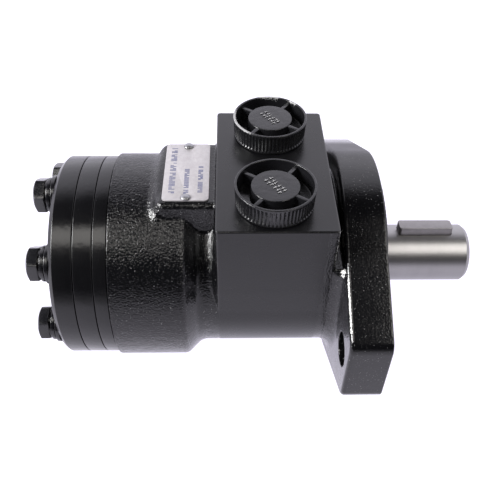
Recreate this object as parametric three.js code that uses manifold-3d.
// A gerotor (orbit) hydraulic motor with a spool-valve output shaft, a two-bolt oval flange and two
// side-by-side ports. Millimetres. The shaft lies along X and points to +X, +Z is the normal of the
// port face, and the origin is on the shaft axis in the plane of the flange's mounting face.

import * as THREE from 'three';
import { mergeVertices } from 'three/addons/utils/BufferGeometryUtils.js';
import Module from 'manifold-3d';

const wasm = await Module();
wasm.setup();

// ---------------------------------------------------------------- driving dimensions

const GAP = 0.3;                 // left between neighbouring pieces

// Flange
const FLANGE_THICK = 16.2;
const FLANGE_R = 45.9;           // round middle of the oval
const EAR_REACH = 65.3;          // half of the overall length, along Y
const EAR_HALF_HEIGHT = 15.8;
const EAR_CORNER = 5;
const FLANGE_HOLE_R = 6.75;
const FLANGE_HOLE_Y = 53.2;      // 106.4 mm between the two holes
const PILOT_R = 41.25;
const PILOT_THICK = 1.7;

// Housing
const BODY_R = 38;               // round belly, and half the width of the port block
const REAR_R = 44.1;             // cast cylinder behind the port block
const REAR_END = -106.8;         // machined face that the spacer plate seats on
const REAR_FRONT = -77.8;        // where the cast cylinder ends in a 45 degree cone
const BLOCK_REAR = -65.1;
const BLOCK_FRONT = -20.1;
const BLOCK_TOP = 48.6;
const PAD_REAR = -88.1;          // raised pad for the name plate
const PAD_HALF_WIDTH = 20.3;
const PAD_TOP = 45.5;
const PAD_FOOT = 30.9;           // inside the barrel, where the pad's box starts
const FILLET = 5;                // slope between the body's sides and the flange
const NOTCH_Z = 28.5;            // foot of the groove between the port block and the flange

// Ports
const PORT_X = -43.1;
const PORT_Y = 21.85;
const PORT_R = 10.4;
const PORT_DEPTH = 16;

// Case drain on the +Y side, and the small drilling from it to the thrust bearing
const DRAIN = { x: -31, z: 13, r: 5.2, depth: 10, wayR: 1.8 };

// Valve: two annular galleries, with the seven timing holes between them
const BORE_R = 17.3;
const GALLERY_R = 20;
const GALLERY_WIDTH = 5;
const GALLERY_X = [-67.5, -43.5];
const TIMING_X = -55.5;
const PASSAGE_R = 2.6;
const PASSAGE_CIRCLE = 23.5;
const TIMING_R = 2.1;
const SLOT = { halfWidth: 1.5, depth: 1.8, overlap: 2.5 };
const SPOOL_GROOVE_DEPTH = 2.2;

// Rear stack: plate, gerotor ring and cover, held by seven screws
const STACK_R = 43;
const RING_FRONT = -112.3;
const RING_REAR = -119.9;
const COVER_REAR = -129.2;
const SCREWS = 7;
const SCREW_CIRCLE = 33.75;
const SCREW_R = 3.95;
const SCREW_HOLE_R = 4.35;
const SCREW_TIP = -93.5;
const HEAD_FLATS = 13;
const SEAL_CIRCLE = 28.1;        // O-rings between the screws and the gerotor
const SEAL_R = 0.75;
const SPACER_POCKET = { r: 13.5, depth: 3.2 };

// Gerotor: seven round lobes in the ring, six on the rotor
const LOBES = 7;
const LOBE_CIRCLE = 31;
const LOBE_R = 10.2;
const ECCENTRIC = 2.6;
const ROTOR_CLEARANCE = 0.13;
const ROTOR_SIDE_GAP = 0.4;

// Splined drive
const TEETH = 12;
const SPLINE_ROOT_R = 11;
const SPLINE_TIP_R = 9.3;
const SPLINE_ROOT_HALF = 0.32;   // half widths of a space between teeth, as shares of the pitch
const SPLINE_TIP_HALF = 0.17;
const SPLINE_CLEARANCE = 0.42;
const DRIVE_REAR = -116.1;       // middle of the spline in the rotor
const DRIVE_FRONT = -66;         // middle of the spline in the output shaft
const DRIVE_LENGTH = DRIVE_FRONT - DRIVE_REAR;
const TILT = Math.asin(ECCENTRIC / DRIVE_LENGTH);
const CARDAN = { coreR: 7.4, waistR: 6.8, rearHalf: 3, frontHalf: 4.6, overhang: 3.4, taper: 3 };
const SOCKET = { half: 6, entryR: 13, reliefR: 11.8, relief: 3 };
const SPACER_R = 9;

// Output shaft
const SHAFT_R = 12.5;
const SHAFT_END = 44.9;
const JOURNAL_R = 14.2;
const SPOOL_R = 17;
const SPOOL_REAR = -98;
const SPOOL_FRONT = -25;
const KEY_WIDTH = 6.35;
const KEY_REAR = 14.1;
const KEY_FRONT = 37.5;
const KEY_TOP = 15.7;
const KEY_SEAT = 9;
const KEY_CORNER = 1.2;
const KEY_TURN = THREE.MathUtils.degToRad(6);
const SHAFT_CHAMFER = { length: 1.6, depth: 1.2 };
const CENTRE_HOLE = { mouthR: 3.3, r: 1.3, cone: 2.5, depth: 6 };

// Front of the bore: thrust shoulder and seal pocket
const SHOULDER_X = -19.6;
const THROAT_R = 14.6;
const POCKET_R = 19;
const POCKET_X = -14;
const RING_GROOVE = { from: -4.8, to: -3.1, depth: 1.4 };
const RING_WIDTH = 2.6;

const STEP = 2 * Math.PI / SCREWS;

// Facets around a circle
const LARGE = 40;
const MEDIUM = 28;
const SMALL = 16;
const TINY = 8;
const PORT = 24;                 // ports, flange holes and the splined socket
const WASHER = 12;
const FLANGE_CURVE = 10;
const SCREW_HOLE = 10;
const PIN = 6;
const POINTS_PER_LOBE = 12;

// ---------------------------------------------------------------- materials

const paint = (color, roughness) => new THREE.MeshStandardMaterial({ color, roughness, metalness: 0 });
const metal = (color, roughness) => new THREE.MeshStandardMaterial({ color, roughness, metalness: 1 });

const castPaint = () => paint(0x1b1b1d, 0.45);
const smoothPaint = () => paint(0x161618, 0.3);
const blackPlastic = () => paint(0x242426, 0.5);
const blackRubber = () => paint(0x101010, 0.8);
const blackSteel = () => metal(0x2a2a2c, 0.4);
const groundSteel = () => metal(0xc9c5c2, 0.25);
const gearSteel = () => metal(0x9a9a9c, 0.35);
const aluminium = () => metal(0xd8d2d6, 0.4);

// ---------------------------------------------------------------- solids

// A closed solid from a three.js geometry: shared points merged, collapsed triangles dropped and the
// faces turned outwards.
function solid(geometry) {
  const bare = geometry.clone();
  for (const name of Object.keys(bare.attributes)) {
    if (name !== 'position') bare.deleteAttribute(name);
  }
  const merged = mergeVertices(bare, 1e-4);
  const points = merged.attributes.position.array;
  const corners = merged.index.array;
  const kept = [];
  let volume = 0;
  for (let i = 0; i < corners.length; i += 3) {
    const [a, b, c] = corners.slice(i, i + 3);
    if (a === b || b === c || c === a) continue;
    kept.push(a, b, c);
    const [p, q, r] = [a, b, c].map((k) => new THREE.Vector3().fromArray(points, 3 * k));
    volume += p.dot(q.cross(r));
  }
  if (volume < 0) kept.reverse();
  return new wasm.Manifold(new wasm.Mesh({
    numProp: 3,
    vertProperties: new Float32Array(points),
    triVerts: new Uint32Array(kept),
  }));
}

const joined = (...parts) => parts.reduce((a, b) => a.add(b));
const cut = (body, ...tools) => tools.reduce((a, b) => a.subtract(b), body);

// Shape coordinates (x, y) become (Y, Z), and the extrusion runs along X.
const ALONG_X = new THREE.Matrix4().makeBasis(
  new THREE.Vector3(0, 1, 0), new THREE.Vector3(0, 0, 1), new THREE.Vector3(1, 0, 0));

function prismX(shape, from, to, curveSegments = 12, bevel = null) {
  const inset = bevel ? bevel.thickness : 0;
  const options = { depth: to - from - 2 * inset, curveSegments, bevelEnabled: Boolean(bevel) };
  if (bevel) {
    Object.assign(options, {
      bevelThickness: bevel.thickness, bevelSize: bevel.size, bevelOffset: -bevel.size, bevelSegments: 1,
    });
  }
  const geometry = new THREE.ExtrudeGeometry(shape, options);
  geometry.translate(0, 0, from + inset);
  geometry.applyMatrix4(ALONG_X);
  return solid(geometry);
}

function prismZ(shape, from, to, curveSegments = 8) {
  const options = { depth: to - from, curveSegments, bevelEnabled: false };
  const geometry = new THREE.ExtrudeGeometry(shape, options);
  geometry.translate(0, 0, from);
  return solid(geometry);
}

function box(x, y, z) {
  const geometry = new THREE.BoxGeometry(x[1] - x[0], y[1] - y[0], z[1] - z[0]);
  geometry.translate((x[0] + x[1]) / 2, (y[0] + y[1]) / 2, (z[0] + z[1]) / 2);
  return solid(geometry);
}

// A solid of revolution about X from (x, radius) points that start and end on the axis.
function turned(profile, sides = MEDIUM) {
  const geometry = new THREE.LatheGeometry(profile.map(([x, r]) => new THREE.Vector2(r, x)), sides);
  geometry.rotateZ(-Math.PI / 2);
  return solid(geometry);
}

// A ring about X with the given closed section.
const ringX = (section, sides = MEDIUM) => turned([...section, section[0]], sides);

const washerX = (from, to, inner, outer, sides = MEDIUM) => ringX(
  [[from, inner], [from, outer], [to, outer], [to, inner]], sides);

const disc = (from, to, radius, sides = MEDIUM) => turned(
  [[from, 0], [from, radius], [to, radius], [to, 0]], sides);

// A straight drilling or pin between two points.
function drilling(from, to, radius, sides = TINY) {
  const [a, b] = [new THREE.Vector3(...from), new THREE.Vector3(...to)];
  const geometry = new THREE.CylinderGeometry(radius, radius, a.distanceTo(b), sides);
  const turn = new THREE.Quaternion().setFromUnitVectors(
    new THREE.Vector3(0, 1, 0), b.clone().sub(a).normalize());
  geometry.applyQuaternion(turn);
  const middle = a.clone().add(b).multiplyScalar(0.5);
  geometry.translate(middle.x, middle.y, middle.z);
  return solid(geometry);
}

// A point of the YZ plane at a radius and an angle from +Z towards +Y.
const around = (radius, angle) => [radius * Math.sin(angle), radius * Math.cos(angle)];

// A copy turned about X by an angle from +Z towards +Y.
const spun = (body, angle) => body.rotate([-THREE.MathUtils.radToDeg(angle), 0, 0]);

// The same drilling along X at each of the seven angles.
function sevenHoles(from, to, circle, radius, sides, offset = 0) {
  return Array.from({ length: SCREWS }, (_, k) => {
    const [y, z] = around(circle, offset + k * STEP);
    return drilling([from, y, z], [to, y, z], radius, sides);
  });
}

const screwHoles = (from, to) => sevenHoles(from, to, SCREW_CIRCLE, SCREW_HOLE_R, SCREW_HOLE);
const passages = (from, to) => sevenHoles(from, to, PASSAGE_CIRCLE, PASSAGE_R, TINY, STEP / 2);

function roundedRectangle(width, height, corner) {
  const [w, h] = [width / 2, height / 2];
  const shape = new THREE.Shape();
  const quarter = Math.PI / 2;
  shape.absarc(w - corner, h - corner, corner, 0, quarter);
  shape.absarc(corner - w, h - corner, corner, quarter, 2 * quarter);
  shape.absarc(corner - w, corner - h, corner, 2 * quarter, 3 * quarter);
  shape.absarc(w - corner, corner - h, corner, 3 * quarter, 4 * quarter);
  shape.closePath();
  return shape;
}

// ---------------------------------------------------------------- assembly

const group = new THREE.Group();
group.name = 'hydraulic_motor';

function place(name, body, material, parent = group) {
  const mesh = body.getMesh();
  const geometry = new THREE.BufferGeometry();
  geometry.setAttribute('position', new THREE.BufferAttribute(mesh.vertProperties, mesh.numProp));
  geometry.setIndex(new THREE.BufferAttribute(mesh.triVerts, 1));
  geometry.computeVertexNormals();
  const piece = new THREE.Mesh(geometry, material);
  piece.name = name;
  parent.add(piece);
  return piece;
}

// ---------------------------------------------------------------- housing

// The oval: a round middle, with straight flanks tangent to it that run to the flat ends of the ears.
function flangeShape() {
  const reach = Math.hypot(EAR_REACH, EAR_HALF_HEIGHT);
  const tangent = Math.atan2(EAR_HALF_HEIGHT, EAR_REACH) + Math.acos(FLANGE_R / reach);
  const flank = new THREE.Vector2(
    FLANGE_R * Math.cos(tangent) - EAR_REACH, FLANGE_R * Math.sin(tangent) - EAR_HALF_HEIGHT).normalize();
  const turnIn = [EAR_REACH + EAR_CORNER * flank.x, EAR_HALF_HEIGHT + EAR_CORNER * flank.y];
  const turnOut = [EAR_REACH, EAR_HALF_HEIGHT - EAR_CORNER];
  const shape = new THREE.Shape();
  shape.moveTo(turnOut[0], -turnOut[1]);
  shape.lineTo(...turnOut);
  shape.quadraticCurveTo(EAR_REACH, EAR_HALF_HEIGHT, ...turnIn);
  shape.absarc(0, 0, FLANGE_R, tangent, Math.PI - tangent);
  shape.lineTo(-turnIn[0], turnIn[1]);
  shape.quadraticCurveTo(-EAR_REACH, EAR_HALF_HEIGHT, -turnOut[0], turnOut[1]);
  shape.lineTo(-turnOut[0], -turnOut[1]);
  shape.quadraticCurveTo(-EAR_REACH, -EAR_HALF_HEIGHT, -turnIn[0], -turnIn[1]);
  shape.absarc(0, 0, FLANGE_R, Math.PI + tangent, 2 * Math.PI - tangent);
  shape.lineTo(turnIn[0], -turnIn[1]);
  shape.quadraticCurveTo(EAR_REACH, -EAR_HALF_HEIGHT, turnOut[0], -turnOut[1]);
  return shape;
}

// Upright sides and a round belly of the same half width.
function blockShape(halfWidth) {
  const shape = new THREE.Shape();
  shape.moveTo(halfWidth, BLOCK_TOP);
  shape.lineTo(-halfWidth, BLOCK_TOP);
  shape.absarc(0, 0, halfWidth, Math.PI, 2 * Math.PI);
  return shape;
}

function casting() {
  const coneEnd = REAR_FRONT + REAR_R - BODY_R;
  const barrel = turned([
    [REAR_END + GAP / 2, 0], [REAR_END + GAP / 2, REAR_R], [REAR_FRONT, REAR_R], [coneEnd, BODY_R],
    [-FLANGE_THICK / 2, BODY_R], [-FLANGE_THICK / 2, 0]], LARGE);
  const block = prismX(blockShape(BODY_R), BLOCK_REAR, BLOCK_FRONT, LARGE / 2);
  const pad = box([PAD_REAR, BLOCK_REAR + 1], [-PAD_HALF_WIDTH, PAD_HALF_WIDTH], [PAD_FOOT, PAD_TOP]);
  const flange = prismX(flangeShape(), -FLANGE_THICK, 0, FLANGE_CURVE);
  const pilot = disc(-1, PILOT_THICK, PILOT_R, LARGE);
  const slope = prismX(blockShape(BODY_R + FILLET), -FLANGE_THICK - FILLET, -FLANGE_THICK + FILLET,
    LARGE / 2, { thickness: FILLET, size: FILLET });
  const web = prismX(blockShape(BODY_R), BLOCK_FRONT - 1, -FLANGE_THICK + 1, LARGE / 2);
  const below = box(
    [BLOCK_FRONT - FILLET, 1 - FLANGE_THICK], [-EAR_REACH, EAR_REACH], [-EAR_REACH, NOTCH_Z]);
  return joined(barrel, block, pad, flange, pilot, slope.add(web).intersect(below));
}

function valveBore() {
  const bore = turned([
    [REAR_END - 1, 0], [REAR_END - 1, BORE_R], [SHOULDER_X, BORE_R], [SHOULDER_X, THROAT_R],
    [POCKET_X, THROAT_R], [POCKET_X, POCKET_R], [PILOT_THICK + 1, POCKET_R], [PILOT_THICK + 1, 0]]);
  const ringGroove = disc(RING_GROOVE.from, RING_GROOVE.to, POCKET_R + RING_GROOVE.depth);
  const galleries = GALLERY_X.map((x) => disc(x - GALLERY_WIDTH / 2, x + GALLERY_WIDTH / 2, GALLERY_R));
  const timing = Array.from({ length: SCREWS }, (_, k) => {
    const angle = (k + 0.5) * STEP;
    const ends = [BORE_R - 2, PASSAGE_CIRCLE].map((radius) => [TIMING_X, ...around(radius, angle)]);
    return drilling(...ends, TIMING_R, PIN);
  });
  return [bore, ringGroove, ...galleries, ...timing];
}

function portCuts() {
  const floor = BLOCK_TOP - PORT_DEPTH;
  return [-PORT_Y, PORT_Y].map((y) => drilling(
    [PORT_X, y, floor], [PORT_X, y, BLOCK_TOP + 1], PORT_R, PORT));
}

function drainCuts() {
  const floor = BODY_R - DRAIN.depth;
  return [
    drilling([DRAIN.x, floor, DRAIN.z], [DRAIN.x, BODY_R + 1, DRAIN.z], DRAIN.r, SMALL),
    drilling([DRAIN.x, floor + 1, DRAIN.z], [SPOOL_FRONT + 2, BORE_R - 2, DRAIN.z / 2], DRAIN.wayR, PIN),
  ];
}

// An O-ring groove on either side of a seam between two stacked pieces.
const GROOVE_DEPTH = 2 * SEAL_R + GAP;
const sealGroove = (seam) => washerX(
  seam - GROOVE_DEPTH, seam + GROOVE_DEPTH, SEAL_CIRCLE - SEAL_R - GAP, SEAL_CIRCLE + SEAL_R + GAP);

const RIVETS = [-16.3, 16.3].map((y) => [(PAD_REAR + BLOCK_REAR) / 2, y]);
const RIVET_STEM_R = 0.9;
const RIVET_STEM = 3.4;
const RIVET_HOLE_R = 1.25;

function housing() {
  const flangeHoles = [-FLANGE_HOLE_Y, FLANGE_HOLE_Y].map((y) => drilling(
    [-FLANGE_THICK - 1, y, 0], [1, y, 0], FLANGE_HOLE_R, PORT));
  const rivetHoles = RIVETS.map(([x, y]) => drilling(
    [x, y, PAD_TOP - RIVET_STEM - 0.6], [x, y, PAD_TOP + 1], RIVET_HOLE_R));
  return cut(casting(), ...valveBore(), ...portCuts(), ...drainCuts(), ...flangeHoles, ...rivetHoles,
    ...screwHoles(REAR_END - 1, SCREW_TIP + 2), ...passages(REAR_END - 1, TIMING_X + PASSAGE_R),
    sealGroove(REAR_END));
}

place('housing', housing(), castPaint());

// ---------------------------------------------------------------- plate, ring and cover

const PLATE_HOLE_R = 13.5;

function spacerPlate() {
  const [from, to] = [RING_FRONT + GAP / 2, REAR_END - GAP / 2];
  return cut(disc(from, to, STACK_R, LARGE), disc(from - 1, to + 1, PLATE_HOLE_R, SMALL),
    ...screwHoles(from - 1, to + 1), ...passages(from - 1, to + 1));
}

// The cavity is a circle of the root radius less the seven round lobes, one behind each screw.
function gerotorRing() {
  const [from, to] = [RING_REAR + GAP / 2, RING_FRONT - GAP / 2];
  const root = LOBE_CIRCLE - LOBE_R + 2 * ECCENTRIC + ROTOR_CLEARANCE;
  const lobes = sevenHoles(from - 2, to + 2, LOBE_CIRCLE, LOBE_R, MEDIUM);
  const cavity = cut(disc(from - 1, to + 1, root, 6 * LOBES), ...lobes);
  return cut(disc(from, to, STACK_R, LARGE), cavity, ...screwHoles(from - 1, to + 1),
    sealGroove(RING_FRONT), sealGroove(RING_REAR));
}

const COVER_CHAMFER = { width: 2.5, depth: 1.5 };

function rearCover() {
  const [from, to] = [COVER_REAR, RING_REAR - GAP / 2];
  const body = turned([
    [from, 0], [from, STACK_R - COVER_CHAMFER.depth], [from + COVER_CHAMFER.width, STACK_R], [to, STACK_R],
    [to, 0]], LARGE);
  const pocket = disc(to - SPACER_POCKET.depth, to + 1, SPACER_POCKET.r, SMALL);
  return cut(body, pocket, ...screwHoles(from - 1, to + 1));
}

place('spacer_plate', spacerPlate(), smoothPaint());
place('gerotor_ring', gerotorRing(), smoothPaint());
place('rear_cover', rearCover(), smoothPaint());

// ---------------------------------------------------------------- O-rings between the stacked pieces

function oRing(middle) {
  const section = Array.from({ length: PIN }, (_, k) => {
    const turn = k / PIN * 2 * Math.PI;
    return [middle + SEAL_R * Math.cos(turn), SEAL_CIRCLE + SEAL_R * Math.sin(turn)];
  });
  return ringX(section);
}

place('housing_seal', oRing(REAR_END + SEAL_R), blackRubber());
place('plate_seal', oRing(RING_FRONT - SEAL_R), blackRubber());
place('cover_seal', oRing(RING_REAR + SEAL_R), blackRubber());

// ---------------------------------------------------------------- rotor, drive spacer and cardan

// Conjugate profile of the six-lobed rotor, inset by the running clearance. At rest its centre lies
// ECCENTRIC above the shaft axis, towards the ring's top lobe.
class RotorCurve extends THREE.Curve {
  getPoint(u, target = new THREE.Vector3()) {
    const t = u * 2 * Math.PI;
    const lead = Math.atan2(
      Math.sin((1 - LOBES) * t), LOBE_CIRCLE / (ECCENTRIC * LOBES) - Math.cos((1 - LOBES) * t));
    const reach = LOBE_R + ROTOR_CLEARANCE;
    return target.set(
      LOBE_CIRCLE * Math.sin(t) - reach * Math.sin(t + lead) - ECCENTRIC * Math.sin(LOBES * t),
      LOBE_CIRCLE * Math.cos(t) - reach * Math.cos(t + lead) - ECCENTRIC * Math.cos(LOBES * t), 0);
  }
}

function rotorShape() {
  const curve = new RotorCurve();
  curve.arcLengthDivisions = 1200;
  const points = curve.getSpacedPoints(POINTS_PER_LOBE * (LOBES - 1)).slice(0, -1);
  return new THREE.Shape(points.map((point) => new THREE.Vector2(point.x, point.y)));
}

// Twelve straight-sided teeth. A negative inset makes the socket, a positive one the shaft's teeth.
function splineShape(inset) {
  const shape = new THREE.Shape();
  const pitch = 2 * Math.PI / TEETH;
  const [root, tip] = [SPLINE_TIP_R - inset, SPLINE_ROOT_R - inset];
  const rootHalf = SPLINE_ROOT_HALF * pitch - inset / 2 / root;
  const tipHalf = SPLINE_TIP_HALF * pitch - inset / 2 / tip;
  for (let k = 0; k < TEETH; k += 1) {
    const corners = [[root, -rootHalf], [tip, -tipHalf], [tip, tipHalf], [root, rootHalf]];
    for (const [radius, turn] of corners) {
      const [y, z] = around(radius, k * pitch + turn);
      if (k === 0 && radius === root && turn < 0) shape.moveTo(y, z);
      else shape.lineTo(y, z);
    }
  }
  shape.closePath();
  return shape;
}

function rotor() {
  const [from, to] = [RING_REAR + ROTOR_SIDE_GAP, RING_FRONT - ROTOR_SIDE_GAP];
  return cut(prismX(rotorShape(), from, to), prismX(splineShape(-SPLINE_CLEARANCE / 2), from - 1, to + 1));
}

const rotorFrame = new THREE.Group();
rotorFrame.position.z = ECCENTRIC;
group.add(rotorFrame);
place('rotor', rotor(), gearSteel(), rotorFrame);

const SPACER_REAR = RING_REAR - SPACER_POCKET.depth + 0.1;
const SPACER_FRONT = DRIVE_REAR - CARDAN.overhang - 0.8;
place('drive_spacer', disc(SPACER_REAR, SPACER_FRONT, SPACER_R, SMALL), gearSteel(), rotorFrame);

// The cardan is drawn straight about the middle of its front spline and then tilted, so that its rear
// spline sits at the centre of the rotor.
function cardanShaft() {
  const crown = { thickness: 1.6, size: 0.35 };
  const shape = splineShape(SPLINE_CLEARANCE / 2);
  const head = (middle, half) => prismX(shape, middle - half, middle + half, PIN, crown);
  const [rear, front] = [-DRIVE_LENGTH - CARDAN.overhang, CARDAN.frontHalf + 0.6];
  const waist = [CARDAN.rearHalf - DRIVE_LENGTH, -CARDAN.frontHalf - 0.4];
  const core = turned([
    [rear, 0], [rear, CARDAN.coreR], [waist[0], CARDAN.coreR], [waist[0] + CARDAN.taper, CARDAN.waistR],
    [waist[1] - CARDAN.taper, CARDAN.waistR], [waist[1], CARDAN.coreR], [front, CARDAN.coreR], [front, 0]],
  SMALL);
  return joined(core, head(-DRIVE_LENGTH, CARDAN.rearHalf), head(0, CARDAN.frontHalf));
}

const cardanFrame = new THREE.Group();
cardanFrame.position.x = DRIVE_FRONT;
cardanFrame.rotation.y = TILT;
group.add(cardanFrame);
place('cardan_shaft', cardanShaft(), gearSteel(), cardanFrame);

// ---------------------------------------------------------------- output shaft and key

function splineSocket() {
  const [from, to] = [DRIVE_FRONT - SOCKET.half, DRIVE_FRONT + SOCKET.half];
  return [
    disc(SPOOL_REAR - 1, from, SOCKET.entryR, PORT),
    prismX(splineShape(-SPLINE_CLEARANCE / 2), from - 1, to),
    disc(to - 0.5, to + SOCKET.relief, SOCKET.reliefR, PORT),
  ];
}

// Six slots run from each spool groove into the timing zone, one set between the other.
function timingSlots() {
  return GALLERY_X.flatMap((x, side) => Array.from({ length: LOBES - 1 }, (_, k) => {
    const toward = Math.sign(TIMING_X - x);
    const ends = [x, TIMING_X + toward * SLOT.overlap].sort((a, b) => a - b);
    const slot = box(ends, [-SLOT.halfWidth, SLOT.halfWidth], [SPOOL_R - SLOT.depth, SPOOL_R + 1]);
    return spun(slot, (k + side / 2) * 2 * Math.PI / (LOBES - 1));
  }));
}

function keyBlank(grow) {
  const length = KEY_FRONT - KEY_REAR + 2 * grow;
  const outline = roundedRectangle(length, KEY_WIDTH + 2 * grow, KEY_CORNER);
  const blank = prismZ(outline, KEY_SEAT - grow, KEY_TOP, 2);
  return spun(blank.translate([(KEY_FRONT + KEY_REAR) / 2, 0, 0]), KEY_TURN);
}

function outputShaft() {
  const body = turned([
    [SPOOL_REAR, 0], [SPOOL_REAR, SPOOL_R - 0.8], [SPOOL_REAR + 0.8, SPOOL_R], [SPOOL_FRONT, SPOOL_R],
    [SPOOL_FRONT, JOURNAL_R], [0.2, JOURNAL_R], [1.2, SHAFT_R],
    [SHAFT_END - SHAFT_CHAMFER.length, SHAFT_R], [SHAFT_END, SHAFT_R - SHAFT_CHAMFER.depth], [SHAFT_END, 0]]);
  const grooves = GALLERY_X.map((x) => washerX(
    x - GALLERY_WIDTH / 2, x + GALLERY_WIDTH / 2, SPOOL_R - SPOOL_GROOVE_DEPTH, SPOOL_R + 1));
  const { mouthR, r, cone, depth } = CENTRE_HOLE;
  const centre = turned([
    [SHAFT_END - depth, 0], [SHAFT_END - depth + 1, r], [SHAFT_END - cone, r], [SHAFT_END + 1, mouthR],
    [SHAFT_END + 1, 0]], TINY);
  return cut(body, ...grooves, ...timingSlots(), ...splineSocket(), keyBlank(GAP / 2), centre);
}

place('output_shaft', outputShaft(), groundSteel());
place('drive_key', keyBlank(0), gearSteel());

// ---------------------------------------------------------------- thrust bearing and front seals

const RACE_INNER = JOURNAL_R + GAP;
const CAGE = { from: -22.9, to: -21.5, rollers: 12, rollerR: 1 };

// Cage with its rollers standing out on both faces.
function needleCage() {
  const middle = (CAGE.from + CAGE.to) / 2;
  const rollers = Array.from({ length: CAGE.rollers }, (_, k) => {
    const angle = k / CAGE.rollers * 2 * Math.PI;
    const ends = [RACE_INNER + 0.4, SPOOL_R - 0.4].map((radius) => [middle, ...around(radius, angle)]);
    return drilling(...ends, CAGE.rollerR, PIN);
  });
  return joined(washerX(CAGE.from, CAGE.to, RACE_INNER, SPOOL_R), ...rollers);
}

place('thrust_race_rear', washerX(SPOOL_FRONT + 0.2, SPOOL_FRONT + 1.3, RACE_INNER, SPOOL_R), gearSteel());
place('needle_cage', needleCage(), gearSteel());
place('thrust_race_front', washerX(SHOULDER_X - 1.3, SHOULDER_X - 0.2, RACE_INNER, SPOOL_R), gearSteel());

// Both seals are given by their sections; the lips stand 0.35 mm off the journal.
const SEAL_OUTER = POCKET_R - GAP;
const LIP_R = JOURNAL_R + 0.35;
const shaftSeal = ringX([
  [-11.9, SEAL_OUTER], [-11.9, JOURNAL_R + 2.6], [-9, LIP_R], [-7.8, LIP_R],
  [-7.8, JOURNAL_R + 2.2], [-5.1, JOURNAL_R + 2.2], [-5.1, SEAL_OUTER]]);
const dustSeal = ringX([
  [-2.7, SEAL_OUTER], [-2.7, JOURNAL_R + 1.4], [-0.6, JOURNAL_R + 1.4], [-0.4, LIP_R],
  [0.1, LIP_R], [1.2, JOURNAL_R + 2.4], [1.2, SEAL_OUTER]]);

function retainingRing() {
  const [from, to] = [RING_GROOVE.from + 0.2, RING_GROOVE.to - 0.2];
  const ring = washerX(from, to, POCKET_R - RING_WIDTH, POCKET_R + 1);
  return cut(ring, box([from - 1, to + 1], [-3, 3], [-POCKET_R - 3, 0]));
}

place('backup_ring', washerX(POCKET_X + 0.3, POCKET_X + 1.8, JOURNAL_R + 0.4, SEAL_OUTER), gearSteel());
place('shaft_seal', shaftSeal, blackRubber());
place('retaining_ring', retainingRing(), blackSteel());
place('dust_seal', dustSeal, blackRubber());

// ---------------------------------------------------------------- cover screws and washers

const FLAT_WASHER = { from: COVER_REAR - 1.75, to: COVER_REAR - 0.25, inner: 4.3, outer: 8 };
const LOCK_WASHER = { from: COVER_REAR - 3.8, to: COVER_REAR - 2, inner: 4.3, outer: 7.2, split: 1 };
const HEAD = { from: COVER_REAR - 8.9, to: COVER_REAR - 4.05, crown: 0.9 };

function hexShape(flats) {
  const corner = flats / Math.sqrt(3);
  const points = Array.from({ length: 6 }, (_, k) => new THREE.Vector2(...around(corner, k * Math.PI / 3)));
  return new THREE.Shape(points);
}

// The head's corners are cut back to a cone at its outer end.
function coverScrew() {
  const corner = HEAD_FLATS / Math.sqrt(3);
  const blunt = turned([
    [HEAD.from, 0], [HEAD.from, HEAD_FLATS / 2 - 0.3], [HEAD.from + HEAD.crown, corner + 0.2],
    [HEAD.to, corner + 0.2], [HEAD.to, 0]], WASHER);
  const head = prismX(hexShape(HEAD_FLATS), HEAD.from, HEAD.to).intersect(blunt);
  return joined(head, disc(HEAD.to - 1, SCREW_TIP, SCREW_R, TINY));
}

// Spring washer, split on the side that faces the shaft axis.
function lockWasher() {
  const { from, to, inner, outer, split } = LOCK_WASHER;
  const ring = washerX(from, to, inner, outer, WASHER);
  return cut(ring, box([from - 1, to + 1], [-split / 2, split / 2], [-outer - 1, 0]));
}

const screwBody = coverScrew();
const lockBody = lockWasher();
const flatBody = washerX(FLAT_WASHER.from, FLAT_WASHER.to, FLAT_WASHER.inner, FLAT_WASHER.outer, WASHER);

for (let k = 0; k < SCREWS; k += 1) {
  const frame = new THREE.Group();
  const [y, z] = around(SCREW_CIRCLE, k * STEP);
  frame.position.set(0, y, z);
  frame.rotation.x = -k * STEP;
  group.add(frame);
  place(`cover_screw_${k + 1}`, screwBody, blackSteel(), frame);
  place(`lock_washer_${k + 1}`, lockBody, blackSteel(), frame);
  place(`flat_washer_${k + 1}`, flatBody, blackSteel(), frame);
}

// ---------------------------------------------------------------- port plugs

const PLUG = { rimR: 15.1, footR: 14.5, top: 9.4, wall: 1.3, hubR: 9.1, hubTop: 8.5, floor: 2.4 };
const STUB = { r: 9.9, boreR: 8.7, depth: 8.6 };
const SPOKES = 4;
const SPOKE_HALF_WIDTH = 0.8;
const SPOKE_TURN = THREE.MathUtils.degToRad(36);

// Shipping plug: a tapered skirt with a rim, a round hub on four thin spokes, and a hollow stub that
// goes into the port. Its Z = 0 is the port face.
function portPlug() {
  const inside = PLUG.rimR - PLUG.wall;
  const skirt = turned([[0.25, 0], [0.25, PLUG.footR], [PLUG.top, PLUG.rimR], [PLUG.top, 0]]);
  const recess = disc(PLUG.floor, PLUG.top + 1, inside);
  const hub = disc(PLUG.floor - 1, PLUG.hubTop, PLUG.hubR, SMALL);
  const stub = washerX(-STUB.depth, 1, STUB.boreR, STUB.r, SMALL);
  const spoke = box([PLUG.floor - 1, PLUG.hubTop - 0.4], [-SPOKE_HALF_WIDTH, SPOKE_HALF_WIDTH],
    [PLUG.hubR - 1, inside + 0.5]);
  const spokes = Array.from({ length: SPOKES }, (_, k) => spun(
    spoke, SPOKE_TURN + k * 2 * Math.PI / SPOKES));
  return joined(cut(skirt, recess), hub, stub, ...spokes);
}

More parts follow.
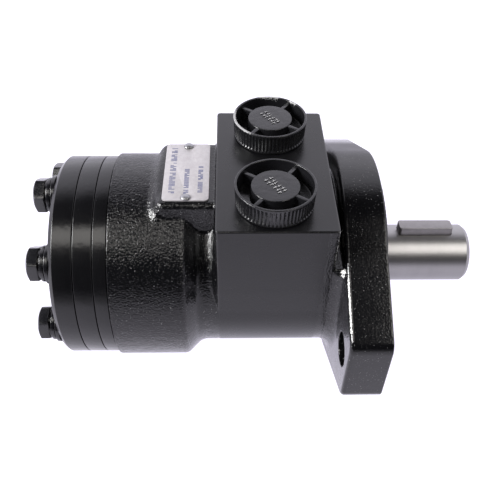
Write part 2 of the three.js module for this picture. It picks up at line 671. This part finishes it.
const plugBody = portPlug();
for (const [name, side] of [['port_plug_a', -1], ['port_plug_b', 1]]) {
  const frame = new THREE.Group();
  frame.position.set(PORT_X, side * PORT_Y, BLOCK_TOP);
  frame.rotation.y = -Math.PI / 2;
  group.add(frame);
  place(name, plugBody, blackPlastic(), frame);
}

// ---------------------------------------------------------------- drain plug, name plate and rivets

const DRAIN_HEAD = { r: 8.2, thick: 3.4, flats: 6, socket: 2.6 };
const DRAIN_WASHER = { r: 8.8, inner: 5.6, from: BODY_R + 0.2, to: BODY_R + 1.4 };

const drainWasher = washerX(
  DRAIN_WASHER.from, DRAIN_WASHER.to, DRAIN_WASHER.inner, DRAIN_WASHER.r, SMALL);

function drainPlug() {
  const seat = DRAIN_WASHER.to + 0.2;
  const end = seat + DRAIN_HEAD.thick;
  const head = disc(seat, end, DRAIN_HEAD.r, SMALL);
  const thread = disc(BODY_R - DRAIN.depth + 1.5, seat + 0.5, DRAIN.r - 0.35, WASHER);
  const socket = prismX(hexShape(DRAIN_HEAD.flats), end - DRAIN_HEAD.socket, end + 1);
  return cut(joined(head, thread), socket);
}

const drainFrame = new THREE.Group();
drainFrame.position.set(DRAIN.x, 0, DRAIN.z);
drainFrame.rotation.z = Math.PI / 2;
group.add(drainFrame);
place('drain_washer', drainWasher, aluminium(), drainFrame);
place('drain_plug', drainPlug(), blackSteel(), drainFrame);

const PLATE = {
  middle: -76.7, length: 17.8, width: 35.8, corner: 1.5, from: PAD_TOP + 0.15, to: PAD_TOP + 0.75,
};

function namePlate() {
  const outline = roundedRectangle(PLATE.length, PLATE.width, PLATE.corner);
  const blank = prismZ(outline, PLATE.from, PLATE.to, 2).translate([PLATE.middle, 0, 0]);
  const holes = RIVETS.map(([x, y]) => drilling(
    [x, y, PLATE.from - 1], [x, y, PLATE.to + 1], RIVET_HOLE_R));
  return cut(blank, ...holes);
}

place('name_plate', namePlate(), aluminium());

// A stem and a domed head.
const rivetBody = turned([
  [-RIVET_STEM, 0], [-RIVET_STEM, RIVET_STEM_R], [0, RIVET_STEM_R], [0, 1.9], [0.35, 1.8], [0.8, 1.1],
  [0.95, 0]], TINY);
RIVETS.forEach(([x, y], index) => {
  const frame = new THREE.Group();
  frame.position.set(x, y, PLATE.to + 0.1);
  frame.rotation.y = -Math.PI / 2;
  group.add(frame);
  place(`rivet_${index + 1}`, rivetBody, groundSteel(), frame);
});

export default group;
